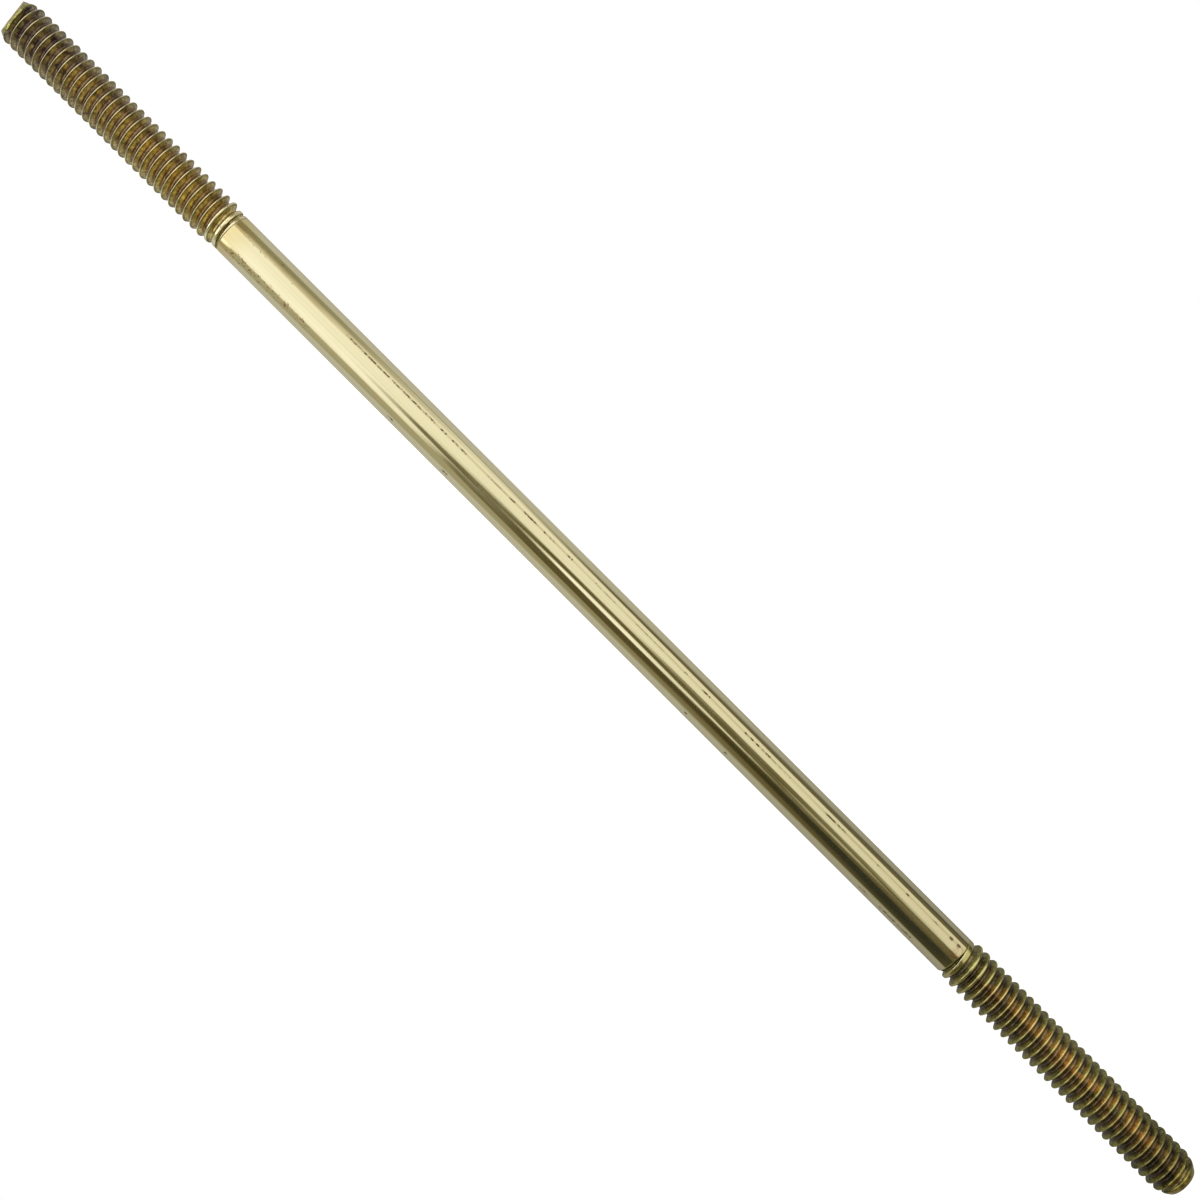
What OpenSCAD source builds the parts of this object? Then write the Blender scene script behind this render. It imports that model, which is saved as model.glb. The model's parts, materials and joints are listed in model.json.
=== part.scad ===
// Toilet float rod: one brass rod with a thread rolled on each end. The valve end screws
// into the arm of the fill valve, and the float ball screws onto the float end.
// The rod lies along +X. X = 0 is where the full thread of the valve end stops.
// Rolling raises the crests above the plain shank. Each threaded end is drawn solid at its
// major diameter, which is the size that a mating part has to clear.

/* [Shank] */
// Diameter of the plain rod between the threads
shank_d = 5.52; // [5.2:0.02:5.8]
// Length between the two full threads
shank_len = 127.9; // [40:0.1:300]

/* [Threads] */
// Major diameter of both threads, over their crests
thread_d = 6.22; // [6.1:0.01:6.35]
// Length of the valve end's thread, from the longest side of the tip
valve_thread_len = 39; // [12:0.1:60]
// Length of the float end's thread, from the tip
float_thread_len = 39.2; // [12:0.1:60]
// Length over which the last turn fades into the shank
runout_len = 0.6; // [0.2:0.1:2]

/* [Valve end] */
// Diameter of the end face, before the shears cut it
valve_face_d = 4.2; // [3:0.1:5]
// Length of the taper behind that face
valve_taper_len = 2.1; // [0.6:0.1:3]
// Angle by which the shears cut the end out of square
valve_shear_tilt = 7; // [0:1:12]
// Angle from square of the bevel that the blade pressed into the upper side
valve_bevel_tilt = 29; // [15:1:35]
// Height above the axis at which that bevel starts
valve_bevel_rise = 0; // [-0.5:0.1:1]

/* [Float end] */
// Diameter of the flat left on the rounded tip
float_face_d = 4.3; // [2:0.1:5]
// Radius of the arc that rounds the thread over to that flat
float_round_r = 4.3; // [2.6:0.1:8]

/* [Hidden] */
$fn = 96;
valve_tip_x = -valve_thread_len;
float_thread_x = shank_len;
float_tip_x = shank_len + float_thread_len;
// distance from the axis to the centre of the float end's rounding, which lies past the axis
float_round_off = thread_d / 2 - float_round_r;
// length of the rounding, from the full thread to the flat
float_round_len = sqrt(pow(float_round_r, 2) - pow(float_face_d / 2 - float_round_off, 2));
float_round_x = float_tip_x - float_round_len;
brass = "#b9a763";

// The half outlines below are turned about the rod's axis: x is the distance from the axis,
// and y is the distance along the rod.

// A straight or tapered stretch of rod, from one place to another
module stretch(from_y, to_y, from_d, to_d) {
    polygon([[0, from_y], [from_d / 2, from_y], [to_d / 2, to_y], [0, to_y]]);
}

// The drawn rod between the full threads, with the last turns fading into it
module shank_outline() {
    stretch(0, runout_len, thread_d, shank_d);
    stretch(runout_len, shank_len - runout_len, shank_d, shank_d);
    stretch(shank_len - runout_len, shank_len, shank_d, thread_d);
}

module valve_thread_outline() {
    stretch(valve_tip_x, valve_tip_x + valve_taper_len, valve_face_d, thread_d);
    stretch(valve_tip_x + valve_taper_len, 0, thread_d, thread_d);
}

module float_thread_outline() {
    stretch(float_thread_x, float_round_x, thread_d, thread_d);
    intersection() {
        stretch(float_round_x, float_tip_x, thread_d, thread_d);
        translate([float_round_off, float_round_x])
            circle(r = float_round_r);
    }
}

// A block whose face passes through the origin and looks along +X. It takes off all that lies
// behind that face, which leans toward +X at the top by an angle.
module block_behind(lean) {
    rotate([0, lean, 0])
        translate([-2 * thread_d, -thread_d, -2 * thread_d])
            cube([2 * thread_d, 2 * thread_d, 4 * thread_d]);
}

// What the shears took off: they cut the end at a slant from its longest side, which is the +Y
// side, and their blade bevelled the upper half
module valve_shear_waste() {
    translate([valve_tip_x, valve_face_d / 2, 0])
        rotate([0, 0, valve_shear_tilt]) {
            block_behind(0);
            translate([0, 0, valve_bevel_rise])
                block_behind(valve_bevel_tilt);
        }
}

module float_rod() {
    color(brass)
        difference() {
            rotate([0, 90, 0])
                rotate_extrude() {
                    valve_thread_outline();
                    shank_outline();
                    float_thread_outline();
                }
            valve_shear_waste();
        }
}

float_rod();
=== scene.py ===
import json
import math

import bmesh
import bpy
from mathutils import Matrix, Vector


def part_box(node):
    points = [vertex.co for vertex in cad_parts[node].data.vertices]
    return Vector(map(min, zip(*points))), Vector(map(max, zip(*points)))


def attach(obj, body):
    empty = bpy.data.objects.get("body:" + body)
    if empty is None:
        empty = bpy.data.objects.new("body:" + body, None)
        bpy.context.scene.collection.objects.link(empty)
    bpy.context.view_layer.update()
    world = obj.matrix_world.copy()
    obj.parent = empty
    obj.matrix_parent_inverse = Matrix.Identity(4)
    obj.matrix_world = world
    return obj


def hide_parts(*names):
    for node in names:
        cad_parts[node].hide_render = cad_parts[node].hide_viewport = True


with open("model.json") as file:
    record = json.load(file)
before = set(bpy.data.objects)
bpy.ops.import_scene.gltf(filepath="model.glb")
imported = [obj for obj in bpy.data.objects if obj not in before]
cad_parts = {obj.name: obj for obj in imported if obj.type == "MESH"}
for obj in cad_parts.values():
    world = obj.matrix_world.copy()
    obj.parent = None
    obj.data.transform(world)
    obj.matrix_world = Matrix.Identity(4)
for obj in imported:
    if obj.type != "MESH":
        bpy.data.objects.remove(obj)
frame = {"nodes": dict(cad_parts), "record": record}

scene = bpy.context.scene
mm = 0.001
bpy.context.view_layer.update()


# The places that the frame gives, in mm along the rod.

mounts = {mount["name"]: mount for mount in frame["record"]["mounts"]}
valveMount = mounts["valve_end_thread"]
floatMount = mounts["float_end_thread"]
rodLow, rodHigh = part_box("float_rod")
valveTip, floatTip = rodLow.x / mm, rodHigh.x / mm
valveShoulder = valveMount["pos_m"][0] / mm          # the full threads stop here
floatShoulder = floatMount["pos_m"][0] / mm
valveTaper = valveShoulder - valveMount["dims"]["length_mm"]    # and here the tips narrow
floatRound = floatShoulder + floatMount["dims"]["length_mm"]
crestR = valveMount["dims"]["r_mm"]
shankR = min(
    math.hypot(vertex.co.y, vertex.co.z) / mm
    for vertex in frame["nodes"]["float_rod"].data.vertices
    if valveShoulder < vertex.co.x / mm < floatShoulder
)
print(f"rod: {valveTip:.2f} to {floatTip:.2f} mm, shank radius {shankR:.3f} mm")


# Small helpers.

def linearColour(text):
    # sRGB hex to the linear colour that Blender works in
    channels = [int(text[i:i + 2], 16) / 255 for i in (1, 3, 5)]
    return [c / 12.92 if c <= 0.04045 else ((c + 0.055) / 1.055) ** 2.4 for c in channels] + [1.0]


def perMm(*sizes):
    # the scale that makes a pattern's grain these sizes in mm
    return [1 / (mm * size) for size in sizes]


def blend(a, b, share):
    return a + (b - a) * share


def ease(low, high, value):
    # 0 at low, 1 at high, smooth between and level past both; low may be the greater
    share = min(max((value - low) / (high - low), 0.0), 1.0)
    return share * share * (3 - 2 * share)


def addNode(tree, kind, inputs=None, **settings):
    # an input is a value, a socket, or another node, whose first live output is taken
    made = tree.nodes.new("ShaderNode" + kind)
    for name, value in settings.items():
        setattr(made, name, value)
    for key, value in (inputs or {}).items():
        if isinstance(value, bpy.types.Node):
            value = next(socket for socket in value.outputs if socket.enabled)
        if isinstance(value, bpy.types.NodeSocket):
            tree.links.new(value, made.inputs[key])
        else:
            made.inputs[key].default_value = value
    return made


# The rod: a thread rolled on each end of a drawn shank. Lengths are in mm.

rodShape = {
    "pitch": 1.27,               # 1/4-20 UNC, right-handed
    "rootR": 2.40,
    "flankSlope": 1.732,         # 60 degree thread form
    "crestHalf": 0.055,          # half the width of a crest
    "crestRound": 0.016,         # how far the rounding takes down a crest's edges
    "runout": 0.6,               # between the last full turn and the plain shank
    "valveFaceR": 2.10,
    "shearTilt": 7.0,            # degrees by which the shears cut the valve end out of square
    "bevelTilt": 29.0,           # the bevel that their blade pressed into its upper half
    "breakTilt": 25.0,           # where the last of the metal broke off, on the -Y side
    "breakAt": -1.24,
    "smeared": 0.50,             # behind the cut, where the blade has smeared the thread over
    "smearFade": (0.12, -0.08),  # from there: where the thread is whole, and where it is gone
    "floatArcR": 4.3,            # rounding of the float end
    "sharpFrom": 50,             # degrees between faces whose edge shows
}
rodGrid = {
    "sides": 88,
    "crestEdge": 0.04,           # rows this far either side of a crest's edge
    "flankRows": (0.35, 0.7),    # and this share of the way down its flank
    "rootEdge": 0.03,            # and this far either side of the flank's foot
    "shankRings": 60,
    "runoutRings": 16,
    "spareTurns": 2,             # past both ends of a thread
    "overrun": 0.5,              # past the valve end, for the shears to cut off
    "weld": 0.003,               # nearer points become one
    "sliver": 0.002,             # shorter edges and thinner faces go
    "planeReach": 0.001,         # points this near a cutting plane count as on it
}
# The dies close only part way beside the shank: the crests are wider and lower there, and the
# last root runs out. Distances count from the shoulder, positive on the shank.
valveDie = {
    "crestAt": -0.43,            # a crest on the rod's upper side
    "lowerOver": (-2.3, -0.3),   # where crests come down to the shank
    "widenOver": (-3.0, 0.0),
    "widened": (0.19, 0.19),     # of a crest: the side away from the shank, and the side toward it
    "flatOver": (-0.4, 0.9),     # and the last one is flat besides
    "lastFlat": (0.40, 0.40),
    "rootOver": (0.15, 0.50),    # where the root comes up to the shank
    "markAt": 0.47,              # the ring that the die's edge has pressed in
    "markHalf": 0.04,
    "markDepth": 0.05,
    "markFrom": (-110, -90),     # degrees from the top toward -Y where it starts
    "finishTo": 0.50,            # where the thread's finish ends
}
floatDie = {
    "crestAt": -0.41,
    "lowerOver": (-1.36, -0.1),
    "widenOver": (-6.2, -2.0),
    "widened": (0.02, 0.13),
    "flatOver": (-1.1, 0.4),
    "lastFlat": (0.10, 0.66),
    "rootOver": (-0.15, 0.45),
    "markAt": 0.30,
    "markHalf": 0.10,
    "markDepth": 0.16,
    "markFrom": (-25, 5),
    "finishTo": 0.54,
}
# The rod's material slots.
onShank, onValveThread, onCutEnd, onFloatThread = range(4)


def dieAt(x):
    # the die that rolled the nearer thread, how far x lies past its shoulder, and which way along
    # the rod the shank is from there
    if x < (valveShoulder + floatShoulder) / 2:
        return valveDie, x - valveShoulder, 1
    return floatDie, floatShoulder - x, -1


def crestHalfAt(crestX, side):
    die, past, shankSide = dieAt(crestX)
    inward = 1 if side == shankSide else 0
    half = rodShape["crestHalf"] + die["widened"][inward] * ease(*die["widenOver"], past)
    return half + die["lastFlat"][inward] * ease(*die["flatOver"], past)


def groundAt(x):
    # the surface between crests: root, and then shank
    die, past, _ = dieAt(x)
    return blend(rodShape["rootR"], shankR, ease(*die["rootOver"], past))


def endLimit(x):
    # the taper of the valve end and the rounding of the float end
    if x < valveTaper:
        return blend(rodShape["valveFaceR"], crestR, (x - valveTip) / (valveTaper - valveTip))
    if x > floatRound:
        arcR = rodShape["floatArcR"]
        return crestR - arcR + math.sqrt(arcR ** 2 - (min(x, floatTip) - floatRound) ** 2)
    return crestR


def smearedTo(turned):
    # how far along the rod the thread is smeared over behind the cut
    y, z = -crestR * math.sin(2 * math.pi * turned), crestR * math.cos(2 * math.pi * turned)
    slant = math.tan(math.radians(rodShape["shearTilt"])) * (rodShape["valveFaceR"] - y)
    bevel = math.tan(math.radians(rodShape["bevelTilt"])) * max(z, 0)
    return valveTip + slant + bevel + rodShape["smeared"]


def rodRadius(x, turned, topCrest):
    # turned counts turns from the top toward -Y; on each such line the crests stand a pitch apart
    radius = groundAt(x)
    firstCrest = topCrest + rodShape["pitch"] * turned
    below = firstCrest + rodShape["pitch"] * math.floor((x - firstCrest) / rodShape["pitch"])
    for crestX in (below, below + rodShape["pitch"]):
        die, past, _ = dieAt(crestX)
        out = abs(x - crestX) - crestHalfAt(crestX, 1 if x > crestX else -1)
        drop = (out + math.sqrt(out ** 2 + 4 * rodShape["crestRound"] ** 2)) / 2
        height = blend(crestR, shankR, ease(*die["lowerOver"], past))
        radius = max(radius, height - rodShape["flankSlope"] * drop)
    die, past, _ = dieAt(x)
    mark = die["markDepth"] * math.exp(-((past - die["markAt"]) / die["markHalf"]) ** 2)
    mark *= ease(*die["markFrom"], 360 * turned)
    whole, gone = rodShape["smearFade"]
    until = smearedTo(turned)
    radius = blend(radius, crestR, ease(until + whole, until + gone, x))
    return min(radius, endLimit(x)) - mark


def turnedAt(j):
    # each ring of the mesh starts on the +Y side, a quarter turn before the top
    return j / rodGrid["sides"] - 0.25


def turnOffsets():
    # the mesh's rows within one turn: whether a row goes with the next crest, on which side of its
    # crest it lies, and how far from the crest's edge
    edge, foot = rodGrid["crestEdge"], rodGrid["rootEdge"]
    flank = (crestR - rodShape["rootR"]) / rodShape["flankSlope"]
    out = [-edge, 0.0, edge]
    out += [share * flank for share in rodGrid["flankRows"]]
    out += [flank - foot, flank + foot]
    return [(0, 0, 0)] + [(0, 1, off) for off in out] + [(1, -1, off) for off in reversed(out)]


def threadRows(topCrest, turns, low, high):
    # one row per offset and turn; what runs past the thread's ends gathers there
    ring = range(rodGrid["sides"] + 1)
    rows = []
    reached = [low] * len(ring)
    for turn in turns:
        for nextCrest, side, off in turnOffsets():
            row = []
            for j in ring:
                crestX = topCrest + rodShape["pitch"] * (turnedAt(j) + turn + nextCrest)
                half = crestHalfAt(crestX, side) + off if side else 0.0
                x = reached[j] = min(max(crestX + side * half, reached[j]), high)
                row.append((x, rodRadius(x, turnedAt(j), topCrest)))
            rows.append(row)
    return rows


def plainRows(start, end, count, topCrest):
    # rings square to the rod, between two threads' rows or over a run-out
    rows = []
    for i in range(1, count):
        x = blend(start, end, i / count)
        rows.append([(x, rodRadius(x, turnedAt(j), topCrest)) for j in range(rodGrid["sides"] + 1)])
    return rows


def rodMesh():
    runout, overRunout, spare = rodShape["runout"], rodGrid["runoutRings"] + 1, rodGrid["spareTurns"]
    shankFrom, shankTo = valveShoulder + runout, floatShoulder - runout
    valveCrest = valveShoulder + valveDie["crestAt"]
    floatCrest = floatShoulder - floatDie["crestAt"]
    valveTurns = range(-math.ceil((valveShoulder - valveTip) / rodShape["pitch"]) - spare, spare)
    floatTurns = range(-spare, math.ceil((floatTip - floatShoulder) / rodShape["pitch"]) + spare)
    rows = threadRows(valveCrest, valveTurns, valveTip - rodGrid["overrun"], valveShoulder)
    rows += plainRows(valveShoulder, shankFrom, overRunout, valveCrest)
    rows += plainRows(shankFrom, shankTo, rodGrid["shankRings"], valveCrest)
    rows += plainRows(shankTo, floatShoulder, overRunout, floatCrest)
    rows += threadRows(floatCrest, floatTurns, floatShoulder, floatTip)

    shape = bmesh.new()
    grid = []
    for row in rows:
        line = []
        for j, (x, radius) in enumerate(row):
            angle = 2 * math.pi * j / rodGrid["sides"]
            place = (x, radius * math.cos(angle), radius * math.sin(angle))
            line.append(shape.verts.new(Vector(place) * mm))
        grid.append(line)
    for near, far in zip(grid, grid[1:]):
        for j in range(rodGrid["sides"]):
            shape.faces.new((near[j], near[j + 1], far[j + 1], far[j]))
    bmesh.ops.remove_doubles(shape, verts=shape.verts, dist=rodGrid["weld"] * mm)
    bmesh.ops.dissolve_degenerate(shape, dist=rodGrid["sliver"] * mm, edges=shape.edges)
    return shape


def closeEnd(shape, nearValveTip):
    # fill the open rim of one end
    rim = [edge for edge in shape.edges
           if edge.is_boundary and (edge.verts[0].co.x < valveTaper * mm) == nearValveTip]
    for face in bmesh.ops.contextual_create(shape, geom=rim)["faces"]:
        face.material_index = onCutEnd


def cutValveEnd(shape):
    # the shears cut the end at a slant, their blade bevelled its upper half, and the last of the
    # metal broke off
    slant, broken = math.radians(rodShape["shearTilt"]), math.radians(rodShape["breakTilt"])
    corner = Vector((valveTip, rodShape["valveFaceR"], 0))
    breakX = valveTip + (corner.y - rodShape["breakAt"]) * math.tan(slant)
    breakPlace = Vector((breakX, rodShape["breakAt"], 0))
    for place, turned, tilt in ((corner, slant, 0), (corner, slant, rodShape["bevelTilt"]),
                                (breakPlace, broken, 0)):
        facing = Matrix.Rotation(turned, 3, "Z") @ Matrix.Rotation(math.radians(tilt), 3, "Y")
        parts = shape.verts[:] + shape.edges[:] + shape.faces[:]
        bmesh.ops.bisect_plane(shape, geom=parts, dist=rodGrid["planeReach"] * mm,
                               plane_co=place * mm, plane_no=facing @ Vector((1, 0, 0)),
                               clear_inner=True)
        closeEnd(shape, True)


print("rod: shaping the threads")
shape = rodMesh()
cutValveEnd(shape)
closeEnd(shape, False)
bmesh.ops.recalc_face_normals(shape, faces=shape.faces)
print("rod:", len(shape.verts), "vertices,", len(shape.faces), "faces,",
      sum(not edge.is_manifold for edge in shape.edges), "bad edges")
mesh = bpy.data.meshes.new("brass_float_rod")
shape.to_mesh(mesh)
shape.free()
rodPiece = bpy.data.objects.new("brass_float_rod", mesh)
scene.collection.objects.link(rodPiece)
mesh.shade_smooth()
mesh.set_sharp_from_angle(angle=math.radians(rodShape["sharpFrom"]))
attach(rodPiece, "root")
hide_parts("float_rod")


# The finishes.

noiseLow, noiseMiddle, noiseHigh = 0.3, 0.5, 0.7     # nearly all of a noise lies between these


def newMaterial(name):
    # a material and its empty node tree
    material = bpy.data.materials.new(name)
    material.use_nodes = True
    material.node_tree.nodes.clear()
    return material, material.node_tree


def degreesRound(tree, parts):
    # degrees round the X axis, from the top toward -Y
    minusY = addNode(tree, "Math", {0: parts.outputs[1], 1: -1.0}, operation="MULTIPLY")
    turned = addNode(tree, "Math", {0: minusY, 1: parts.outputs[2]}, operation="ARCTAN2")
    return addNode(tree, "Math", {0: turned}, operation="DEGREES")


def alongRod(tree):
    # the place, its three parts in mm, of which the first is along the rod, and degrees round it
    place = addNode(tree, "TexCoord").outputs["Object"]
    inMm = addNode(tree, "Mapping", {0: place, 3: perMm(1, 1, 1)})
    parts = addNode(tree, "SeparateXYZ", {0: inMm})
    return place, parts.outputs, degreesRound(tree, parts)


def distanceFrom(tree, value, middle):
    off = addNode(tree, "Math", {0: value, 1: middle}, operation="SUBTRACT")
    return addNode(tree, "Math", {0: off}, operation="ABSOLUTE")


def bandAt(tree, value, middle, outer, inner, outside=0.0, inside=1.0):
    # the outside value further than outer from the middle, the inside one nearer than inner, and
    # smooth between
    return addNode(tree, "MapRange", {
        0: distanceFrom(tree, value, middle), 1: outer, 2: inner, 3: outside, 4: inside},
        interpolation_type="SMOOTHSTEP")


drawnBrass = {
    "colour": "#f0e6b9",
    "warm": "#ead79a",           # a darker, warmer tone beside the valve end's thread
    "warmOver": 5.0,
    "roughness": 0.09,
    "roughSpread": (0.7, 1.5),   # times as rough in the best and the worst of the haze
    "drawLine": (40.0, 0.20, 0.20),   # mm along and across the draw lines
    "drawDepth": 0.0014,         # mm
    "lineTone": 0.10,            # how much a draw line darkens the brass
    "haze": (9.0, 1.6, 1.6),     # mm, the faint clouds that the polish has left
    "hazeSeed": 3,
    "dieMark": "#a48d55",        # a dull line under the first row of pits, all along the rod
    "dieMarkShare": 0.42,
    "dieMarkEdge": (1.9, 0.5),   # in the row's half widths: where it ends and is full
    "dieMarkWear": (0.6, 0.5),   # the haze's noise where it is unworn, and the least that is left
    "dieMarkNear": (28.0, 2.0, 1.9),  # up to here, in mm, it is so much duller and wider
    "stain": "#57431f",          # brown oxide in the pits
    "pit": (0.5, 0.3, 0.3),      # mm
    "pitFrom": (0.42, 0.56),     # the noise at which a pit starts and is full
    "pitRough": 0.4,
    "pitDepth": 8.0,             # times as deep as a draw line
    "rowEdge": (1.35, 0.65),     # in half widths: where a row of pits ends and is full
    # rows of pits that the die has left: degrees from the top toward -Y, half width in mm, how dark,
    # how unbroken, and the pitted stretches in mm from the valve end's shoulder
    "pitRows": [
        (-25.2, 0.11, 0.9, 0.1, [
            (19.9, 27.2), (27.6, 35.0), (36.0, 37.0), (38.0, 39.0), (39.8, 40.9), (48.2, 49.3),
            (50.5, 53.2), (54.0, 56.1), (63.4, 64.0)]),
        (-25.2, 0.11, 0.9, 0.1, [
            (58.4, 59.0), (78.8, 79.2), (81.7, 83.2), (89.4, 90.7), (91.4, 91.9), (92.3, 93.6),
            (103.4, 106.6), (112.0, 112.5), (117.1, 117.5), (121.7, 122.5)]),
        (-25.0, 0.06, 0.5, 0.2, [(44.4, 47.7), (64.7, 66.7), (70.0, 75.0), (93.8, 97.2)]),
        (57.5, 0.15, 0.9, 0.2, [
            (30.0, 31.1), (39.8, 40.8), (50.0, 50.4), (82.4, 82.8), (89.3, 89.7),
            (112.6, 114.3), (116.4, 121.8)]),
    ],
    "blots": [(125.2, 0.40), (126.5, 0.34)],    # mm from that shoulder, and half length
    "blotAt": (-24.8, 0.24),     # degrees, and half width in mm
    "blot": "#5f4c2e",
    "blotDark": 0.85,
    "blotEdge": (1.55, 1.0),     # in half lengths: where it ends and is full
    "blotRagged": 0.9,           # how far the specks' noise eats into it
    # specks: from and to in mm from the valve end's shoulder, the middle of the patch in degrees,
    # half its width, how thickly they lie, and their colour
    "speckPatches": [
        (0.5, 17.0, 37.0, 15.0, 0.09, "#a08457"),
        (0.5, 12.0, -28.0, 14.0, 0.05, "#a3925c"),
        (125.9, 128.3, -9.0, 26.0, 0.20, "#dcc096"),
    ],
    "speckEdge": (0.7, 0.8),     # in a patch's half width and half length: where it is full
    "speck": (0.39, 0.26, 0.26),      # mm
    "speckSeed": 7,
    "speckFrom": (0.64, 0.76),   # the noise at which a speck starts and is full
}


def polishedDrawnBrass(finish):
    # cartridge brass pulled through a die and polished: a pale yellow mirror, drawn out lengthwise
    # by fine lines, with brown pits where the die has marked it
    material, tree = newMaterial("polished drawn brass")
    place, (along, *_), degrees = alongRod(tree)

    lines = addNode(tree, "TexNoise", {
        "Vector": addNode(tree, "Mapping", {0: place, 3: perMm(*finish["drawLine"])}),
        "Scale": 1.0, "Detail": 3.0, "Roughness": 0.65})
    haze = addNode(tree, "TexNoise", {
        "Vector": addNode(tree, "Mapping", {0: place, 1: [finish["hazeSeed"]] * 3,
                                            3: perMm(*finish["haze"])}),
        "Scale": 1.0, "Detail": 3.0, "Roughness": 0.55})
    broken = addNode(tree, "TexNoise", {
        "Vector": addNode(tree, "Mapping", {0: place, 3: perMm(*finish["pit"])}),
        "Scale": 1.0, "Detail": 3.0, "Roughness": 0.6})
    broken = addNode(tree, "MapRange", {0: broken, 1: finish["pitFrom"][0],
                                        2: finish["pitFrom"][1]},
                     interpolation_type="SMOOTHSTEP")
    specks = addNode(tree, "TexNoise", {
        "Vector": addNode(tree, "Mapping", {0: place, 1: [finish["speckSeed"]] * 3,
                                            3: perMm(*finish["speck"])}),
        "Scale": 1.0, "Detail": 2.0, "Roughness": 0.6})

    warm = addNode(tree, "MapRange", {0: along, 1: valveShoulder + finish["warmOver"],
                                      2: valveShoulder}, interpolation_type="SMOOTHSTEP")
    colour = addNode(tree, "Mix", {0: warm, 6: linearColour(finish["colour"]),
                                   7: linearColour(finish["warm"])}, data_type="RGBA")
    tone = addNode(tree, "MapRange", {0: lines, 1: noiseLow, 2: noiseHigh,
                                      3: 1 - finish["lineTone"], 4: 1.0})
    colour = addNode(tree, "VectorMath", {0: colour, 1: tone}, operation="MULTIPLY")

    # the pits of one row: near its line, within its stretches, and where the noise is high
    length = floatShoulder - valveShoulder
    share = addNode(tree, "MapRange", {0: along, 1: valveShoulder, 2: floatShoulder})
    pits = 0.0
    for rowAt, halfWidth, dark, whole, stretches in finish["pitRows"]:
        width = math.degrees(halfWidth / shankR)
        onRow = bandAt(tree, degrees, rowAt, *(edge * width for edge in finish["rowEdge"]))
        ramp = addNode(tree, "ValToRGB", {0: share})
        stops = ramp.color_ramp.elements
        ramp.color_ramp.interpolation = "CONSTANT"
        stops[0].color = (0, 0, 0, 1)
        stops.remove(stops[1])
        for start, end in stretches:
            stops.new(start / length).color = (1, 1, 1, 1)
            stops.new(end / length).color = (0, 0, 0, 1)
        here = addNode(tree, "Math", {0: onRow, 1: ramp}, operation="MULTIPLY")
        spotted = addNode(tree, "MapRange", {0: broken, 3: whole * dark, 4: dark})
        here = addNode(tree, "Math", {0: here, 1: spotted}, operation="MULTIPLY")
        pits = addNode(tree, "Math", {0: here, 1: pits}, operation="MAXIMUM")

    # the dull line under the first row
    rowAt, halfWidth = finish["pitRows"][0][:2]
    endsAt, fullAt = (edge * math.degrees(halfWidth / shankR) for edge in finish["dieMarkEdge"])
    wholeFrom, least = finish["dieMarkWear"]
    nearTo, duller, wider = finish["dieMarkNear"]
    nearby = addNode(tree, "MapRange", {0: along, 1: valveShoulder + nearTo,
                                        2: valveShoulder + 0.5 * nearTo},
                     interpolation_type="SMOOTHSTEP")
    widening = addNode(tree, "MapRange", {0: nearby, 3: 1.0, 4: wider})
    off = addNode(tree, "Math", {0: distanceFrom(tree, degrees, rowAt), 1: widening},
                  operation="DIVIDE")
    dull = addNode(tree, "MapRange", {0: off, 1: endsAt, 2: fullAt, 4: finish["dieMarkShare"]},
                   interpolation_type="SMOOTHSTEP")
    wear = addNode(tree, "MapRange", {0: haze, 1: noiseLow, 2: wholeFrom, 3: least, 4: 1.0})
    dull = addNode(tree, "Math", {0: dull, 1: wear}, operation="MULTIPLY")
    dulling = addNode(tree, "MapRange", {0: nearby, 3: 1.0, 4: duller})
    dull = addNode(tree, "Math", {0: dull, 1: dulling}, operation="MULTIPLY")
    colour = addNode(tree, "Mix", {0: dull, 6: colour, 7: linearColour(finish["dieMark"])},
                     data_type="RGBA")

    acrossFull, alongFull = finish["speckEdge"]
    for start, end, middleAt, half, thickness, tone in finish["speckPatches"]:
        halfLength = (end - start) / 2
        inside = bandAt(tree, degrees, middleAt, half, acrossFull * half)
        insideAlong = bandAt(tree, along, valveShoulder + (start + end) / 2, halfLength,
                             alongFull * halfLength)
        inside = addNode(tree, "Math", {0: inside, 1: insideAlong}, operation="MULTIPLY")
        raised = addNode(tree, "Math", {0: inside, 1: thickness, 2: specks}, operation="MULTIPLY_ADD")
        speck = addNode(tree, "MapRange", {0: raised, 1: finish["speckFrom"][0],
                                           2: finish["speckFrom"][1]},
                        interpolation_type="SMOOTHSTEP")
        speck = addNode(tree, "Math", {0: speck, 1: inside}, operation="MULTIPLY")
        colour = addNode(tree, "Mix", {0: speck, 6: colour, 7: linearColour(tone)}, data_type="RGBA")

    # round blots beside the float end's shoulder
    blotAt, blotHalf = finish["blotAt"]
    offAcross = addNode(tree, "Math", {0: degrees, 1: blotAt}, operation="SUBTRACT")
    offAcross = addNode(tree, "Math", {0: offAcross, 1: math.degrees(blotHalf / shankR)},
                        operation="DIVIDE")
    for at, half in finish["blots"]:
        offAlong = addNode(tree, "Math", {0: along, 1: valveShoulder + at}, operation="SUBTRACT")
        offAlong = addNode(tree, "Math", {0: offAlong, 1: half}, operation="DIVIDE")
        off = addNode(tree, "VectorMath", {
            0: addNode(tree, "CombineXYZ", {0: offAcross, 1: offAlong})}, operation="LENGTH")
        off = addNode(tree, "Math", {0: specks, 1: finish["blotRagged"], 2: off},
                      operation="MULTIPLY_ADD")
        blot = addNode(tree, "MapRange", {0: off, 1: finish["blotEdge"][0],
                                          2: finish["blotEdge"][1], 4: finish["blotDark"]},
                       interpolation_type="SMOOTHSTEP")
        colour = addNode(tree, "Mix", {0: blot, 6: colour, 7: linearColour(finish["blot"])},
                         data_type="RGBA")

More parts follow.
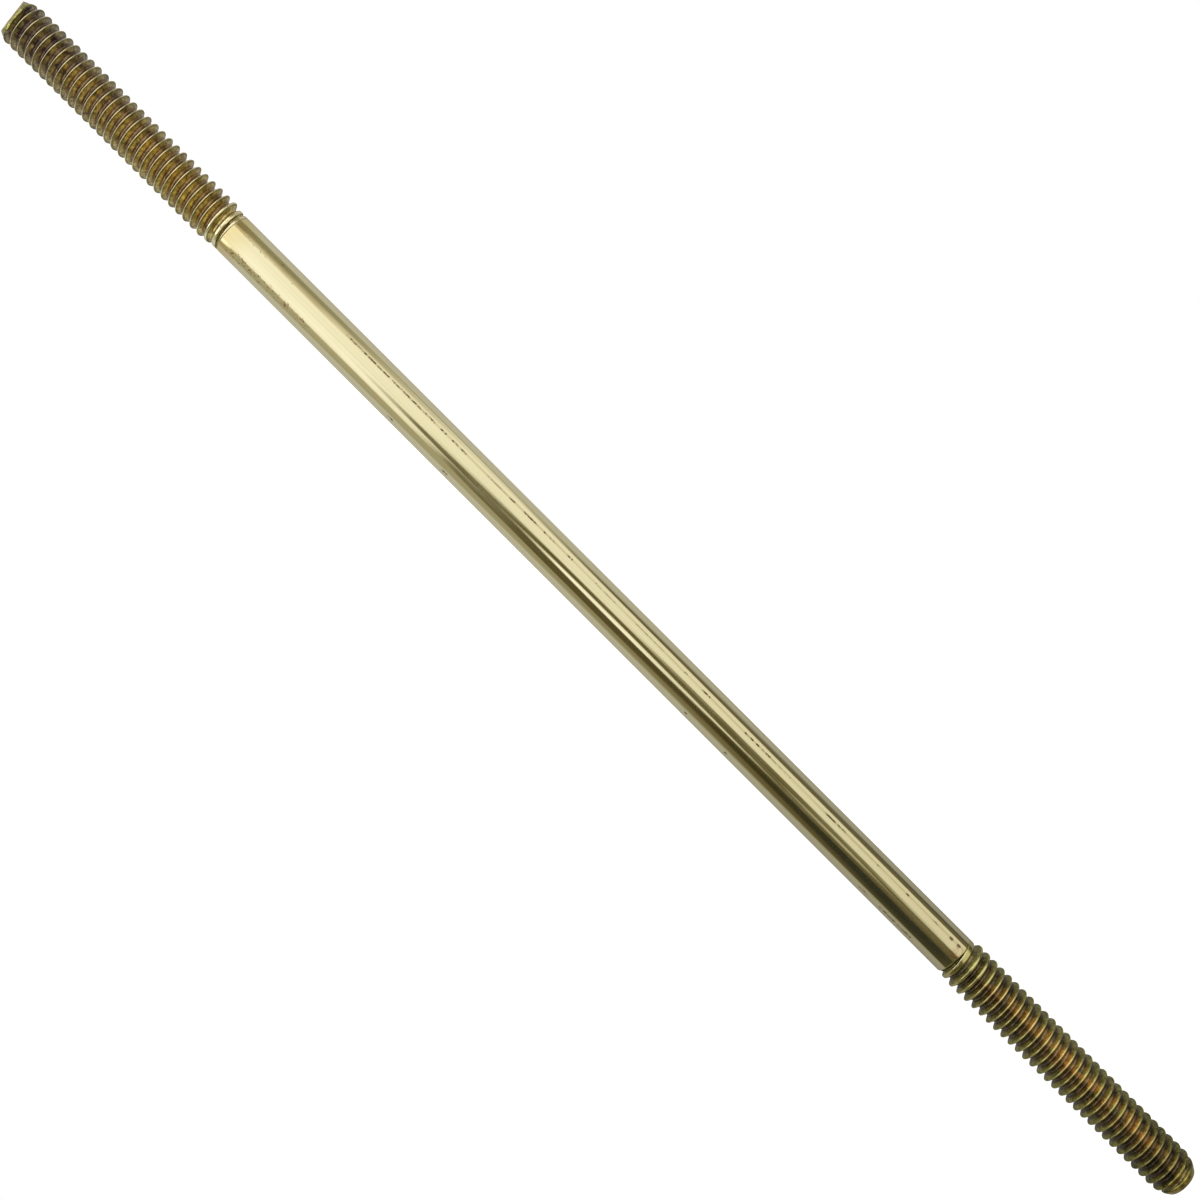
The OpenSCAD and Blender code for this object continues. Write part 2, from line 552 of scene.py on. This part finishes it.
    colour = addNode(tree, "Mix", {0: pits, 6: colour, 7: linearColour(finish["stain"])},
                     data_type="RGBA")
    rough = addNode(tree, "MapRange", {0: haze, 1: noiseLow, 2: noiseHigh,
                                       3: finish["roughSpread"][0] * finish["roughness"],
                                       4: finish["roughSpread"][1] * finish["roughness"]})
    rough = addNode(tree, "Math", {0: pits, 1: finish["pitRough"], 2: rough}, operation="MULTIPLY_ADD")
    ridges = addNode(tree, "Math", {0: pits, 1: -finish["pitDepth"], 2: lines},
                     operation="MULTIPLY_ADD")
    bump = addNode(tree, "Bump", {"Height": ridges, "Distance": finish["drawDepth"] * mm})
    shader = addNode(tree, "BsdfPrincipled", {"Base Color": colour, "Metallic": 1.0,
                                              "Roughness": rough, "Normal": bump})
    addNode(tree, "OutputMaterial", {"Surface": shader})
    return material


# Tarnish from handling and damp on the rolled threads, with painted shade and reflection: the roots
# are darker where shade falls, and the flanks' colours stand in for what they reflect. How far below
# the crests in mm, and the colour there near the tip and near the shoulder.
valveTarnishAndShade = {
    "highFlank": (0.10, "#7c7550", "#887a4b"),   # olive
    "flank": (0.30, "#988e6c", "#c2b371"),       # golden
    "lowFlank": (0.52, "#a09176", "#cdb97c"),    # brown
    "root": (0.66, "#675850", "#957950"),        # purple-brown, darker as painted shade
    "crest": (0.0, "#e6d5a8", "#f8e9b8"),        # rubbed bright, and dimmer toward the tip as painted shade
    "patch": ("#c9aa50", 0.45, 0.46),            # amber, partly a painted highlight on the upper side: how much, and the noise it starts at
    "stain": ("#4a3a44", 0.85),                  # purple-black, in patches near the tip
    "tip": "#9e9654",                            # where the blade has smeared the thread
    "tipOver": (0.9, 0.2),                       # mm along +X from where it narrows: none, and all
    "bands": [(48.0, 26.0, 1.25)],               # a painted highlight along the thread at a fixed angle: degrees, half width, how pale
    "midLength": 1.1,                            # how pale its middle is
}
floatTarnishAndShade = {
    "highFlank": (0.10, "#8e8c42", "#a3a053"),
    "flank": (0.30, "#908859", "#aaa36a"),
    "lowFlank": (0.52, "#857a54", "#a3976b"),
    "root": (0.66, "#4e443a", "#655c4c"),
    # the float end's crests are also dimmer toward the tip, as painted shade
    "crest": (0.0, "#968b5a", "#ddd193"),
    # amber, partly a painted highlight on the upper side, as above
    "patch": ("#cda35c", 0.80, 0.41),
    "stain": ("#3a4436", 0.65),                  # green-black
    "tip": "#a3904a",                            # where the thread is rounded off
    "tipOver": (0.0, 0.8),
    # a darker painted reflection along the thread near the top, in the same form
    "bands": [(9.0, 8.5, 0.62)],
    "midLength": 1.3,
}
# On both: tarnish, and some painted highlight and reflection. "Past" is mm from the shoulder toward
# the shank, and below zero on the thread.
tarnish = {
    "roughness": (0.34, 0.13),   # of the tarnish and of the crests
    "rubbedTo": (0.02, 0.065),   # mm below the crests that handling has reached, and has not
    "dullSpots": (0.25, 0.48),   # how bright the dullest spot on a crest is, and the noise past them
    "oxide": "#2a2420",          # in the ring beside the shoulder
    "oxideShare": 0.9,
    "oxideEdge": 2.0,            # in the ring's half widths
    "oxideFrom": (0.01, 0.06),   # mm below the shank's surface
    "agedOver": (-36.0, -6.0),   # past, from the tip's colours to the shoulder's
    "bandEdge": (1.5, 0.5),      # in a painted reflection's half widths: where it ends and is full
    "patchSize": 1.6,            # mm
    "patchEdge": 0.14,           # the noise from where an amber patch starts to where it is full
    "patchAt": (-8.0, 50.0, 8.0),     # degrees where the painted highlight falls on the upper side: their middle, and how far off they end and are full
    "patchOff": (-1.5, -4.0),    # past: where they end at the shoulder, and are full
    "patchTip": (-37.0, -30.0, 0.35),  # past: where they are so faint near the tip, and are full
    "patchInRoot": 0.3,          # how much of them shows in a root
    "stainSize": 1.12,
    "stainFrom": (0.52, 0.64),   # the noise at which a stain starts and is full
    "stainAtShoulder": 0.3,      # how much of the stains is left there
    "palerAt": (-21.0, 14.0, 5.0),    # past: the thread's middle, and how far off it ends and is full
    "mottle": 0.45,              # mm between light and dark spots
    "mottled": (0.55, 1.50),     # how dark and how light
    "grain": 0.14,
    "grained": (0.8, 1.2),
    "grainDepth": 0.012,         # mm
    "wander": 0.30,              # mm by which a colour strays up or down a flank
    "seeds": (0, 3, 5, 9),       # of the patches, stains, mottle and grain
}


def rolledBrassTarnishAndShade(name, tones, die, shoulder, toShank):
    # the same brass after rolling and some years of handling, with painted shade and reflection:
    # crests rubbed bright, flanks olive and golden brown, partly painted reflection, roots a darker
    # purple-brown as painted shade
    material, tree = newMaterial(name)
    place, (along, y, z), degrees = alongRod(tree)
    radius = addNode(tree, "VectorMath", {0: addNode(tree, "CombineXYZ", {0: y, 1: z})},
                     operation="LENGTH")
    grainSizes = [tarnish[key] for key in ("patchSize", "stainSize", "mottle", "grain")]
    patches, stains, mottle, grain = [
        addNode(tree, "TexNoise", {
            "Vector": addNode(tree, "Mapping", {0: place, 1: (seed, seed, seed),
                                                3: perMm(size, size, size)}),
            "Scale": 1.0, "Detail": 3.0, "Roughness": 0.6})
        for seed, size in zip(tarnish["seeds"], grainSizes)]

    # how far below the crests' tops, which come down to the shank and at the tip
    past = addNode(tree, "Math", {0: along, 1: toShank, 2: -toShank * shoulder},
                   operation="MULTIPLY_ADD")
    top = addNode(tree, "MapRange", {0: past, 1: die["lowerOver"][0], 2: die["lowerOver"][1],
                                     3: crestR, 4: shankR}, interpolation_type="SMOOTHSTEP")
    if toShank > 0:
        tipAt = valveTaper
        limit = addNode(tree, "MapRange", {0: along, 1: valveTip, 2: valveTaper,
                                           3: rodShape["valveFaceR"], 4: crestR})
    else:
        tipAt = floatRound
        arcR = rodShape["floatArcR"]
        off = addNode(tree, "Math", {0: along, 1: floatRound}, operation="SUBTRACT")
        off = addNode(tree, "Math", {0: off, 1: 0.0}, operation="MAXIMUM")
        square = addNode(tree, "Math", {0: off, 1: 2.0}, operation="POWER")
        rise = addNode(tree, "Math", {0: arcR ** 2, 1: square}, operation="SUBTRACT")
        rise = addNode(tree, "Math", {0: rise}, operation="SQRT")
        limit = addNode(tree, "Math", {0: rise, 1: crestR - arcR}, operation="ADD")
    top = addNode(tree, "Math", {0: top, 1: limit}, operation="MINIMUM")
    below = addNode(tree, "Math", {0: top, 1: radius}, operation="SUBTRACT")
    stray = addNode(tree, "Math", {0: patches, 1: noiseMiddle}, operation="SUBTRACT")
    depth = addNode(tree, "Math", {0: stray, 1: tarnish["wander"], 2: below}, operation="MULTIPLY_ADD")

    toShoulder = addNode(tree, "MapRange", {0: past, 1: tarnish["agedOver"][0],
                                            2: tarnish["agedOver"][1]})
    layers = {}
    for key in ("highFlank", "flank", "lowFlank", "root", "crest"):
        layers[key] = addNode(tree, "Mix", {0: toShoulder, 6: linearColour(tones[key][1]),
                                            7: linearColour(tones[key][2])},
                              data_type="RGBA")
    # tarnish and painted shade by depth: from the high flanks down to the darker roots
    colour = layers["highFlank"]
    for over, under in (("highFlank", "flank"), ("flank", "lowFlank"), ("lowFlank", "root")):
        step = addNode(tree, "MapRange", {0: depth, 1: tones[over][0], 2: tones[under][0]},
                       interpolation_type="SMOOTHSTEP")
        colour = addNode(tree, "Mix", {0: step, 6: colour, 7: layers[under]}, data_type="RGBA")

    # amber patches, partly a painted highlight that falls only on the upper side, thinner in the
    # roots, at the shoulder and at the tip
    amberTone, amberShare, amberFrom = tones["patch"]
    amber = addNode(tree, "MapRange", {0: patches, 1: amberFrom,
                                       2: amberFrom + tarnish["patchEdge"]},
                    interpolation_type="SMOOTHSTEP")
    tipFrom, tipTo, tipShare = tarnish["patchTip"]
    for share in (
            bandAt(tree, degrees, *tarnish["patchAt"], inside=amberShare),
            addNode(tree, "MapRange", {0: depth, 1: tones["root"][0], 2: tones["lowFlank"][0],
                                       3: tarnish["patchInRoot"], 4: 1.0}),
            addNode(tree, "MapRange", {0: past, 1: tarnish["patchOff"][0],
                                       2: tarnish["patchOff"][1]}),
            addNode(tree, "MapRange", {0: past, 1: tipFrom, 2: tipTo, 3: tipShare, 4: 1.0})):
        amber = addNode(tree, "Math", {0: amber, 1: share}, operation="MULTIPLY")
    colour = addNode(tree, "Mix", {0: amber, 6: colour, 7: linearColour(amberTone)}, data_type="RGBA")

    # dark stains, more toward the tip
    stainTone, stainShare = tones["stain"]
    stained = addNode(tree, "MapRange", {0: toShoulder, 3: stainShare,
                                         4: tarnish["stainAtShoulder"] * stainShare})
    dark = addNode(tree, "MapRange", {0: stains, 1: tarnish["stainFrom"][0],
                                      2: tarnish["stainFrom"][1]},
                   interpolation_type="SMOOTHSTEP")
    dark = addNode(tree, "Math", {0: dark, 1: stained}, operation="MULTIPLY")
    colour = addNode(tree, "Mix", {0: dark, 6: colour, 7: linearColour(stainTone)}, data_type="RGBA")

    # light and dark spots, grain, and the paler middle of the thread
    spots = addNode(tree, "MapRange", {0: mottle, 1: noiseLow, 2: noiseHigh,
                                       3: tarnish["mottled"][0], 4: tarnish["mottled"][1]})
    grains = addNode(tree, "MapRange", {0: grain, 1: noiseLow, 2: noiseHigh,
                                        3: tarnish["grained"][0], 4: tarnish["grained"][1]})
    spots = addNode(tree, "Math", {0: spots, 1: grains}, operation="MULTIPLY")
    paler = bandAt(tree, past, *tarnish["palerAt"], outside=1.0, inside=tones["midLength"])
    spots = addNode(tree, "Math", {0: spots, 1: paler}, operation="MULTIPLY")
    colour = addNode(tree, "VectorMath", {0: colour, 1: spots}, operation="MULTIPLY")

    # crests rubbed bright, but not at the tip, and painted reflections along the thread at fixed
    # angles
    worn = addNode(tree, "MapRange", {0: below, 1: tarnish["rubbedTo"][1],
                                      2: tarnish["rubbedTo"][0]},
                   interpolation_type="SMOOTHSTEP")
    dullest, brightFrom = tarnish["dullSpots"]
    rubbed = addNode(tree, "MapRange", {0: grain, 1: noiseLow, 2: brightFrom, 3: dullest,
                                        4: 1.0}, interpolation_type="SMOOTHSTEP")
    worn = addNode(tree, "Math", {0: worn, 1: rubbed}, operation="MULTIPLY")
    atTip = addNode(tree, "MapRange", {0: along, 1: tipAt + tones["tipOver"][0],
                                       2: tipAt + tones["tipOver"][1]})
    smeared = addNode(tree, "VectorMath", {0: linearColour(tones["tip"])[:3], 1: spots},
                      operation="MULTIPLY")
    bright = addNode(tree, "Mix", {0: atTip, 6: layers["crest"], 7: smeared}, data_type="RGBA")
    colour = addNode(tree, "Mix", {0: worn, 6: colour, 7: bright}, data_type="RGBA")
    for middleAt, half, pale in tones["bands"]:
        band = bandAt(tree, degrees, middleAt, *(edge * half for edge in tarnish["bandEdge"]),
                      outside=1.0, inside=pale)
        colour = addNode(tree, "VectorMath", {0: colour, 1: band}, operation="MULTIPLY")

    # oxide in the ring that the die's edge has pressed in
    pressed = bandAt(tree, past, die["markAt"], tarnish["oxideEdge"] * die["markHalf"],
                     die["markHalf"])
    sunk = addNode(tree, "MapRange", {0: radius, 1: shankR - tarnish["oxideFrom"][0],
                                      2: shankR - tarnish["oxideFrom"][1],
                                      4: tarnish["oxideShare"]})
    pressed = addNode(tree, "Math", {0: pressed, 1: sunk}, operation="MULTIPLY")
    colour = addNode(tree, "Mix", {0: pressed, 6: colour, 7: linearColour(tarnish["oxide"])},
                     data_type="RGBA")
    rough = addNode(tree, "Mix", {0: worn, 2: tarnish["roughness"][0], 3: tarnish["roughness"][1]})
    bump = addNode(tree, "Bump", {"Height": grain, "Distance": tarnish["grainDepth"] * mm})
    shader = addNode(tree, "BsdfPrincipled", {"Base Color": colour, "Metallic": 1.0,
                                              "Roughness": rough, "Normal": bump})
    addNode(tree, "OutputMaterial", {"Surface": shader})
    return material


cutBrass = {
    "colour": "#d9cc8c",
    "tarnish": "#8a6f4c",
    "roughness": 0.38,
    "roughSpread": (0.8, 1.2),   # times as rough on and between the lines that the blade has left
    "tear": (0.25, 0.25, 3.0),   # mm across and down those lines
    "tearDepth": 0.02,           # mm
    "patchSize": 1.2,            # mm
    "patchFrom": (0.42, 0.66),   # the noise at which a brown patch starts and is full
}


def shearedBrass(finish):
    # brass cut through by a blade: bright but torn in short lines, browned in patches
    material, tree = newMaterial("sheared brass")
    place = addNode(tree, "TexCoord").outputs["Object"]
    size = finish["patchSize"]
    lines = addNode(tree, "TexNoise", {
        "Vector": addNode(tree, "Mapping", {0: place, 3: perMm(*finish["tear"])}),
        "Scale": 1.0, "Detail": 3.0, "Roughness": 0.6})
    patches = addNode(tree, "TexNoise", {
        "Vector": addNode(tree, "Mapping", {0: place, 3: perMm(size, size, size)}),
        "Scale": 1.0, "Detail": 3.0})
    browned = addNode(tree, "MapRange", {0: patches, 1: finish["patchFrom"][0],
                                         2: finish["patchFrom"][1]},
                      interpolation_type="SMOOTHSTEP")
    colour = addNode(tree, "Mix", {0: browned, 6: linearColour(finish["colour"]),
                                   7: linearColour(finish["tarnish"])}, data_type="RGBA")
    rough = addNode(tree, "MapRange", {0: lines, 1: noiseLow, 2: noiseHigh,
                                       3: finish["roughSpread"][0] * finish["roughness"],
                                       4: finish["roughSpread"][1] * finish["roughness"]})
    bump = addNode(tree, "Bump", {"Height": lines, "Distance": finish["tearDepth"] * mm})
    shader = addNode(tree, "BsdfPrincipled", {"Base Color": colour, "Metallic": 1.0,
                                              "Roughness": rough, "Normal": bump})
    addNode(tree, "OutputMaterial", {"Surface": shader})
    return material


mesh.materials.append(polishedDrawnBrass(drawnBrass))
mesh.materials.append(rolledBrassTarnishAndShade("tarnished rolled brass, valve end", valveTarnishAndShade, valveDie,
                                           valveShoulder, 1))
mesh.materials.append(shearedBrass(cutBrass))
mesh.materials.append(rolledBrassTarnishAndShade("tarnished rolled brass, float end", floatTarnishAndShade, floatDie,
                                           floatShoulder, -1))
for face in mesh.polygons:
    die, past, shankSide = dieAt(face.center.x / mm)
    if face.material_index == onShank and past < die["finishTo"]:
        face.material_index = onValveThread if shankSide > 0 else onFloatThread
print("finishes:", ", ".join(material.name for material in mesh.materials))


# The floor, the light and the camera.

paper = {
    "halfSide": 3.0,             # m
    "colour": "#a8a8a8",
    "white": 0.92,               # glow for the camera, which leaves a faint shadow
    "inMetal": 0.22,             # glow in reflections, as far as the paper is well lit
    "reach": (30, 60),           # mm to either side of the rod over which that fades
    "outOfReach": 0.001,         # with less of it left the camera sees plain white
    "lit": (40, 140),            # mm along the rod, from bright to dim
    "shade": "#585858",          # behind the float end
    "shadeFrom": (12, 26),       # mm behind the rod
}


def whitePaper(settings):
    # matt white paper: it glows for the camera and in the metal, and keeps a faint shadow
    material, tree = newMaterial("matt white paper")
    place = addNode(tree, "TexCoord").outputs["Object"]
    parts = addNode(tree, "SeparateXYZ", {0: addNode(tree, "Mapping", {0: place, 3: perMm(1, 1, 1)})})
    off = addNode(tree, "Math", {0: parts.outputs[1]}, operation="ABSOLUTE")
    near = addNode(tree, "MapRange", {0: off, 1: settings["reach"][1], 2: settings["reach"][0]},
                   interpolation_type="SMOOTHSTEP")
    lit = addNode(tree, "MapRange", {0: parts.outputs[0], 1: settings["lit"][1],
                                     2: settings["lit"][0], 4: settings["inMetal"]},
                  interpolation_type="SMOOTHSTEP")
    rays = addNode(tree, "LightPath")
    through = addNode(tree, "Math", {0: rays.outputs["Is Glossy Ray"],
                                     1: rays.outputs["Is Transmission Ray"]},
                      operation="ADD")
    inMetal = addNode(tree, "Math", {0: near, 1: lit}, operation="MULTIPLY")
    inMetal = addNode(tree, "Math", {0: inMetal, 1: through}, operation="MULTIPLY")
    seen = addNode(tree, "Math", {0: rays.outputs["Is Camera Ray"], 1: settings["white"],
                                  2: inMetal}, operation="MULTIPLY_ADD")
    glow = addNode(tree, "Emission", {"Strength": seen})
    behind = addNode(tree, "MapRange", {0: parts.outputs[1], 1: settings["shadeFrom"][0],
                                        2: settings["shadeFrom"][1]},
                     interpolation_type="SMOOTHSTEP")
    toFloat = addNode(tree, "MapRange", {0: parts.outputs[0], 1: settings["lit"][0],
                                         2: settings["lit"][1]},
                      interpolation_type="SMOOTHSTEP")
    shade = addNode(tree, "Math", {0: behind, 1: toFloat}, operation="MULTIPLY")
    tone = addNode(tree, "Mix", {0: shade, 6: linearColour(settings["colour"]),
                                 7: linearColour(settings["shade"])}, data_type="RGBA")
    matt = addNode(tree, "BsdfDiffuse", {"Color": tone})
    both = addNode(tree, "AddShader", {0: glow, 1: matt})
    white = addNode(tree, "Emission", {"Color": (1, 1, 1, 1)})
    away = addNode(tree, "Math", {0: near, 1: settings["outOfReach"]}, operation="LESS_THAN")
    bare = addNode(tree, "Math", {0: away, 1: rays.outputs["Is Camera Ray"]}, operation="MULTIPLY")
    sheet = addNode(tree, "MixShader", {0: bare, 1: both, 2: white})
    addNode(tree, "OutputMaterial", {"Surface": sheet})
    return material


far, floorZ = paper["halfSide"], -crestR * mm
floorMesh = bpy.data.meshes.new("floor")
corners = ((-far, -far), (far, -far), (far, far), (-far, far))
floorMesh.from_pydata([(x, y, floorZ) for x, y in corners], [], [(0, 1, 2, 3)])
floorMesh.materials.append(whitePaper(paper))
floor = bpy.data.objects.new("floor", floorMesh)
scene.collection.objects.link(floor)
print("floor:", floorMesh.materials[0].name)


studio = {
    "level": 0.92,
    "fall": -0.55,               # it is a little dimmer toward the float end
    "warmth": (1.0, 1.07, 1.38),
    "darkest": (0.034, 0.037, 0.030),   # toward the float end, where the dark has no warmth
    "darkBelow": (0.11, 0.06),   # the level where that starts and is full
    "darkToward": (0.08, 0.20),  # and the lean
    # soft panels and openings round the table: degrees from overhead toward -Y, and how far the
    # direction leans toward the float end; their half sizes, softness, squareness and level
    "panels": {
        "left window": (31.7, -0.40, 27.5, 0.24, 0.15, 4, 1.15),
        "wall behind, left": (-82, -0.45, 28, 0.29, 0.30, 2.5, 0.30),
        "low wall behind": (-91, 0.50, 18, 0.57, 0.10, 5, 0.15),
        "dark room, front": (77, 0.00, 18.5, 2.00, 0.35, 4, 0.44),
        "left window, low": (60, -0.62, 12, 0.29, 0.12, 4, 1.45),
        "dark room, front right": (72, 0.45, 20, 0.42, 0.55, 4, 0.07),
        "stand": (24, -0.07, 15, 0.11, 0.2, 2, 0.16),
        "low dark screen": (50, -0.035, 16, 0.105, 0.15, 3, 0.12),
        "dark screen": (26.5, 0.42, 31.5, 0.525, 0.08, 8, 0.13),
        "dark screen, lower half": (46, 0.42, 18, 0.40, 0.45, 3, 0.05),
        "end of the screen": (-10, 0.125, 7.5, 0.10, 0.30, 2.5, 0.17),
        "gap": (23.2, 0.003, 9, 0.067, 0.35, 2, 1.25),
        "edge of the gap": (21.5, 0.058, 4.5, 0.052, 0.5, 2, 0.9),
        "small lamp": (8, 0.172, 6, 0.028, 0.5, 2, 0.6),
        "room beyond": (45, 0.80, 55, 0.45, 0.30, 4, 0.26),
    },
}


def studioWorld(settings):
    # an even light on everything, and in the brass the room that stands round it
    world = bpy.data.worlds.new("studio")
    world.use_nodes = True
    tree = world.node_tree
    tree.nodes.clear()
    place = addNode(tree, "TexCoord")
    parts = addNode(tree, "SeparateXYZ", {0: place.outputs["Generated"]})
    lean = parts.outputs[0]
    degrees = degreesRound(tree, parts)
    light = addNode(tree, "Math", {0: lean, 1: settings["fall"], 2: settings["level"]},
                    operation="MULTIPLY_ADD")
    for across, along, halfAcross, halfAlong, soft, squareness, level in settings["panels"].values():
        offsets = []
        for value, centre, half in ((degrees, across, halfAcross), (lean, along, halfAlong)):
            off = addNode(tree, "Math", {0: value, 1: centre}, operation="SUBTRACT")
            off = addNode(tree, "Math", {0: off, 1: half}, operation="DIVIDE")
            off = addNode(tree, "Math", {0: off}, operation="ABSOLUTE")
            offsets.append(addNode(tree, "Math", {0: off, 1: squareness}, operation="POWER"))
        out = addNode(tree, "Math", {0: offsets[0], 1: offsets[1]}, operation="ADD")
        out = addNode(tree, "Math", {0: out, 1: 1 / squareness}, operation="POWER")
        inside = addNode(tree, "MapRange", {0: out, 1: 1 + soft, 2: 1 - soft},
                         interpolation_type="SMOOTHSTEP")
        light = addNode(tree, "Mix", {0: inside, 2: light, 3: level})
    # what is dim in the room is also warm
    warmth = [addNode(tree, "Math", {0: light, 1: power}, operation="POWER")
              for power in settings["warmth"]]
    room = addNode(tree, "CombineColor", {0: warmth[0], 1: warmth[1], 2: warmth[2]})
    dim = addNode(tree, "MapRange", {0: light, 1: settings["darkBelow"][0],
                                     2: settings["darkBelow"][1]},
                  interpolation_type="SMOOTHSTEP")
    toFloat = addNode(tree, "MapRange", {0: lean, 1: settings["darkToward"][0],
                                         2: settings["darkToward"][1]},
                      interpolation_type="SMOOTHSTEP")
    dim = addNode(tree, "Math", {0: dim, 1: toFloat}, operation="MULTIPLY")
    room = addNode(tree, "Mix", {0: dim, 6: room, 7: [*settings["darkest"], 1.0]}, data_type="RGBA")
    inMetal = addNode(tree, "Background", {0: room})
    rays = addNode(tree, "LightPath")
    level = addNode(tree, "Mix", {0: rays.outputs["Is Camera Ray"], 2: settings["level"], 3: 1.0})
    elsewhere = addNode(tree, "Background", {0: (1, 1, 1, 1), 1: level})
    glow = addNode(tree, "MixShader", {0: rays.outputs["Is Glossy Ray"], 1: elsewhere, 2: inMetal})
    addNode(tree, "OutputWorld", {0: glow})
    world.cycles.sampling_method = "NONE"        # it has no small bright source to aim at
    return world


scene.world = studioWorld(studio)
print("studio:", len(studio["panels"]), "panels")


view = {
    "sensor": 36,                # mm across
    "focalLength": 52.9,
    "height": 219.8,             # mm above the rod's axis
    "foot": 4.15,                # mm from the rod's middle toward the float end
    "aim": (1.23, 0.10),         # mm from the rod's middle, toward the float end and toward +Y
    "turn": 44.95,               # degrees that the rod lies across the picture
}
middle = (valveTip + floatTip) / 2
eye = Vector((middle + view["foot"], 0, view["height"])) * mm
aim = Vector((middle + view["aim"][0], view["aim"][1], 0)) * mm
back = (eye - aim).normalized()
turn = math.radians(view["turn"])
right = Vector((math.cos(turn), math.sin(turn), 0))
right = (right - back * right.dot(back)).normalized()
facing = Matrix((right, back.cross(right), back)).transposed()
camera = bpy.data.objects.new("camera", bpy.data.cameras.new("camera"))
camera.data.lens = view["focalLength"]
camera.data.sensor_width = view["sensor"]
camera.matrix_world = Matrix.Translation(eye) @ facing.to_4x4()
scene.collection.objects.link(camera)
scene.camera = camera
scene.view_settings.view_transform = "Standard"
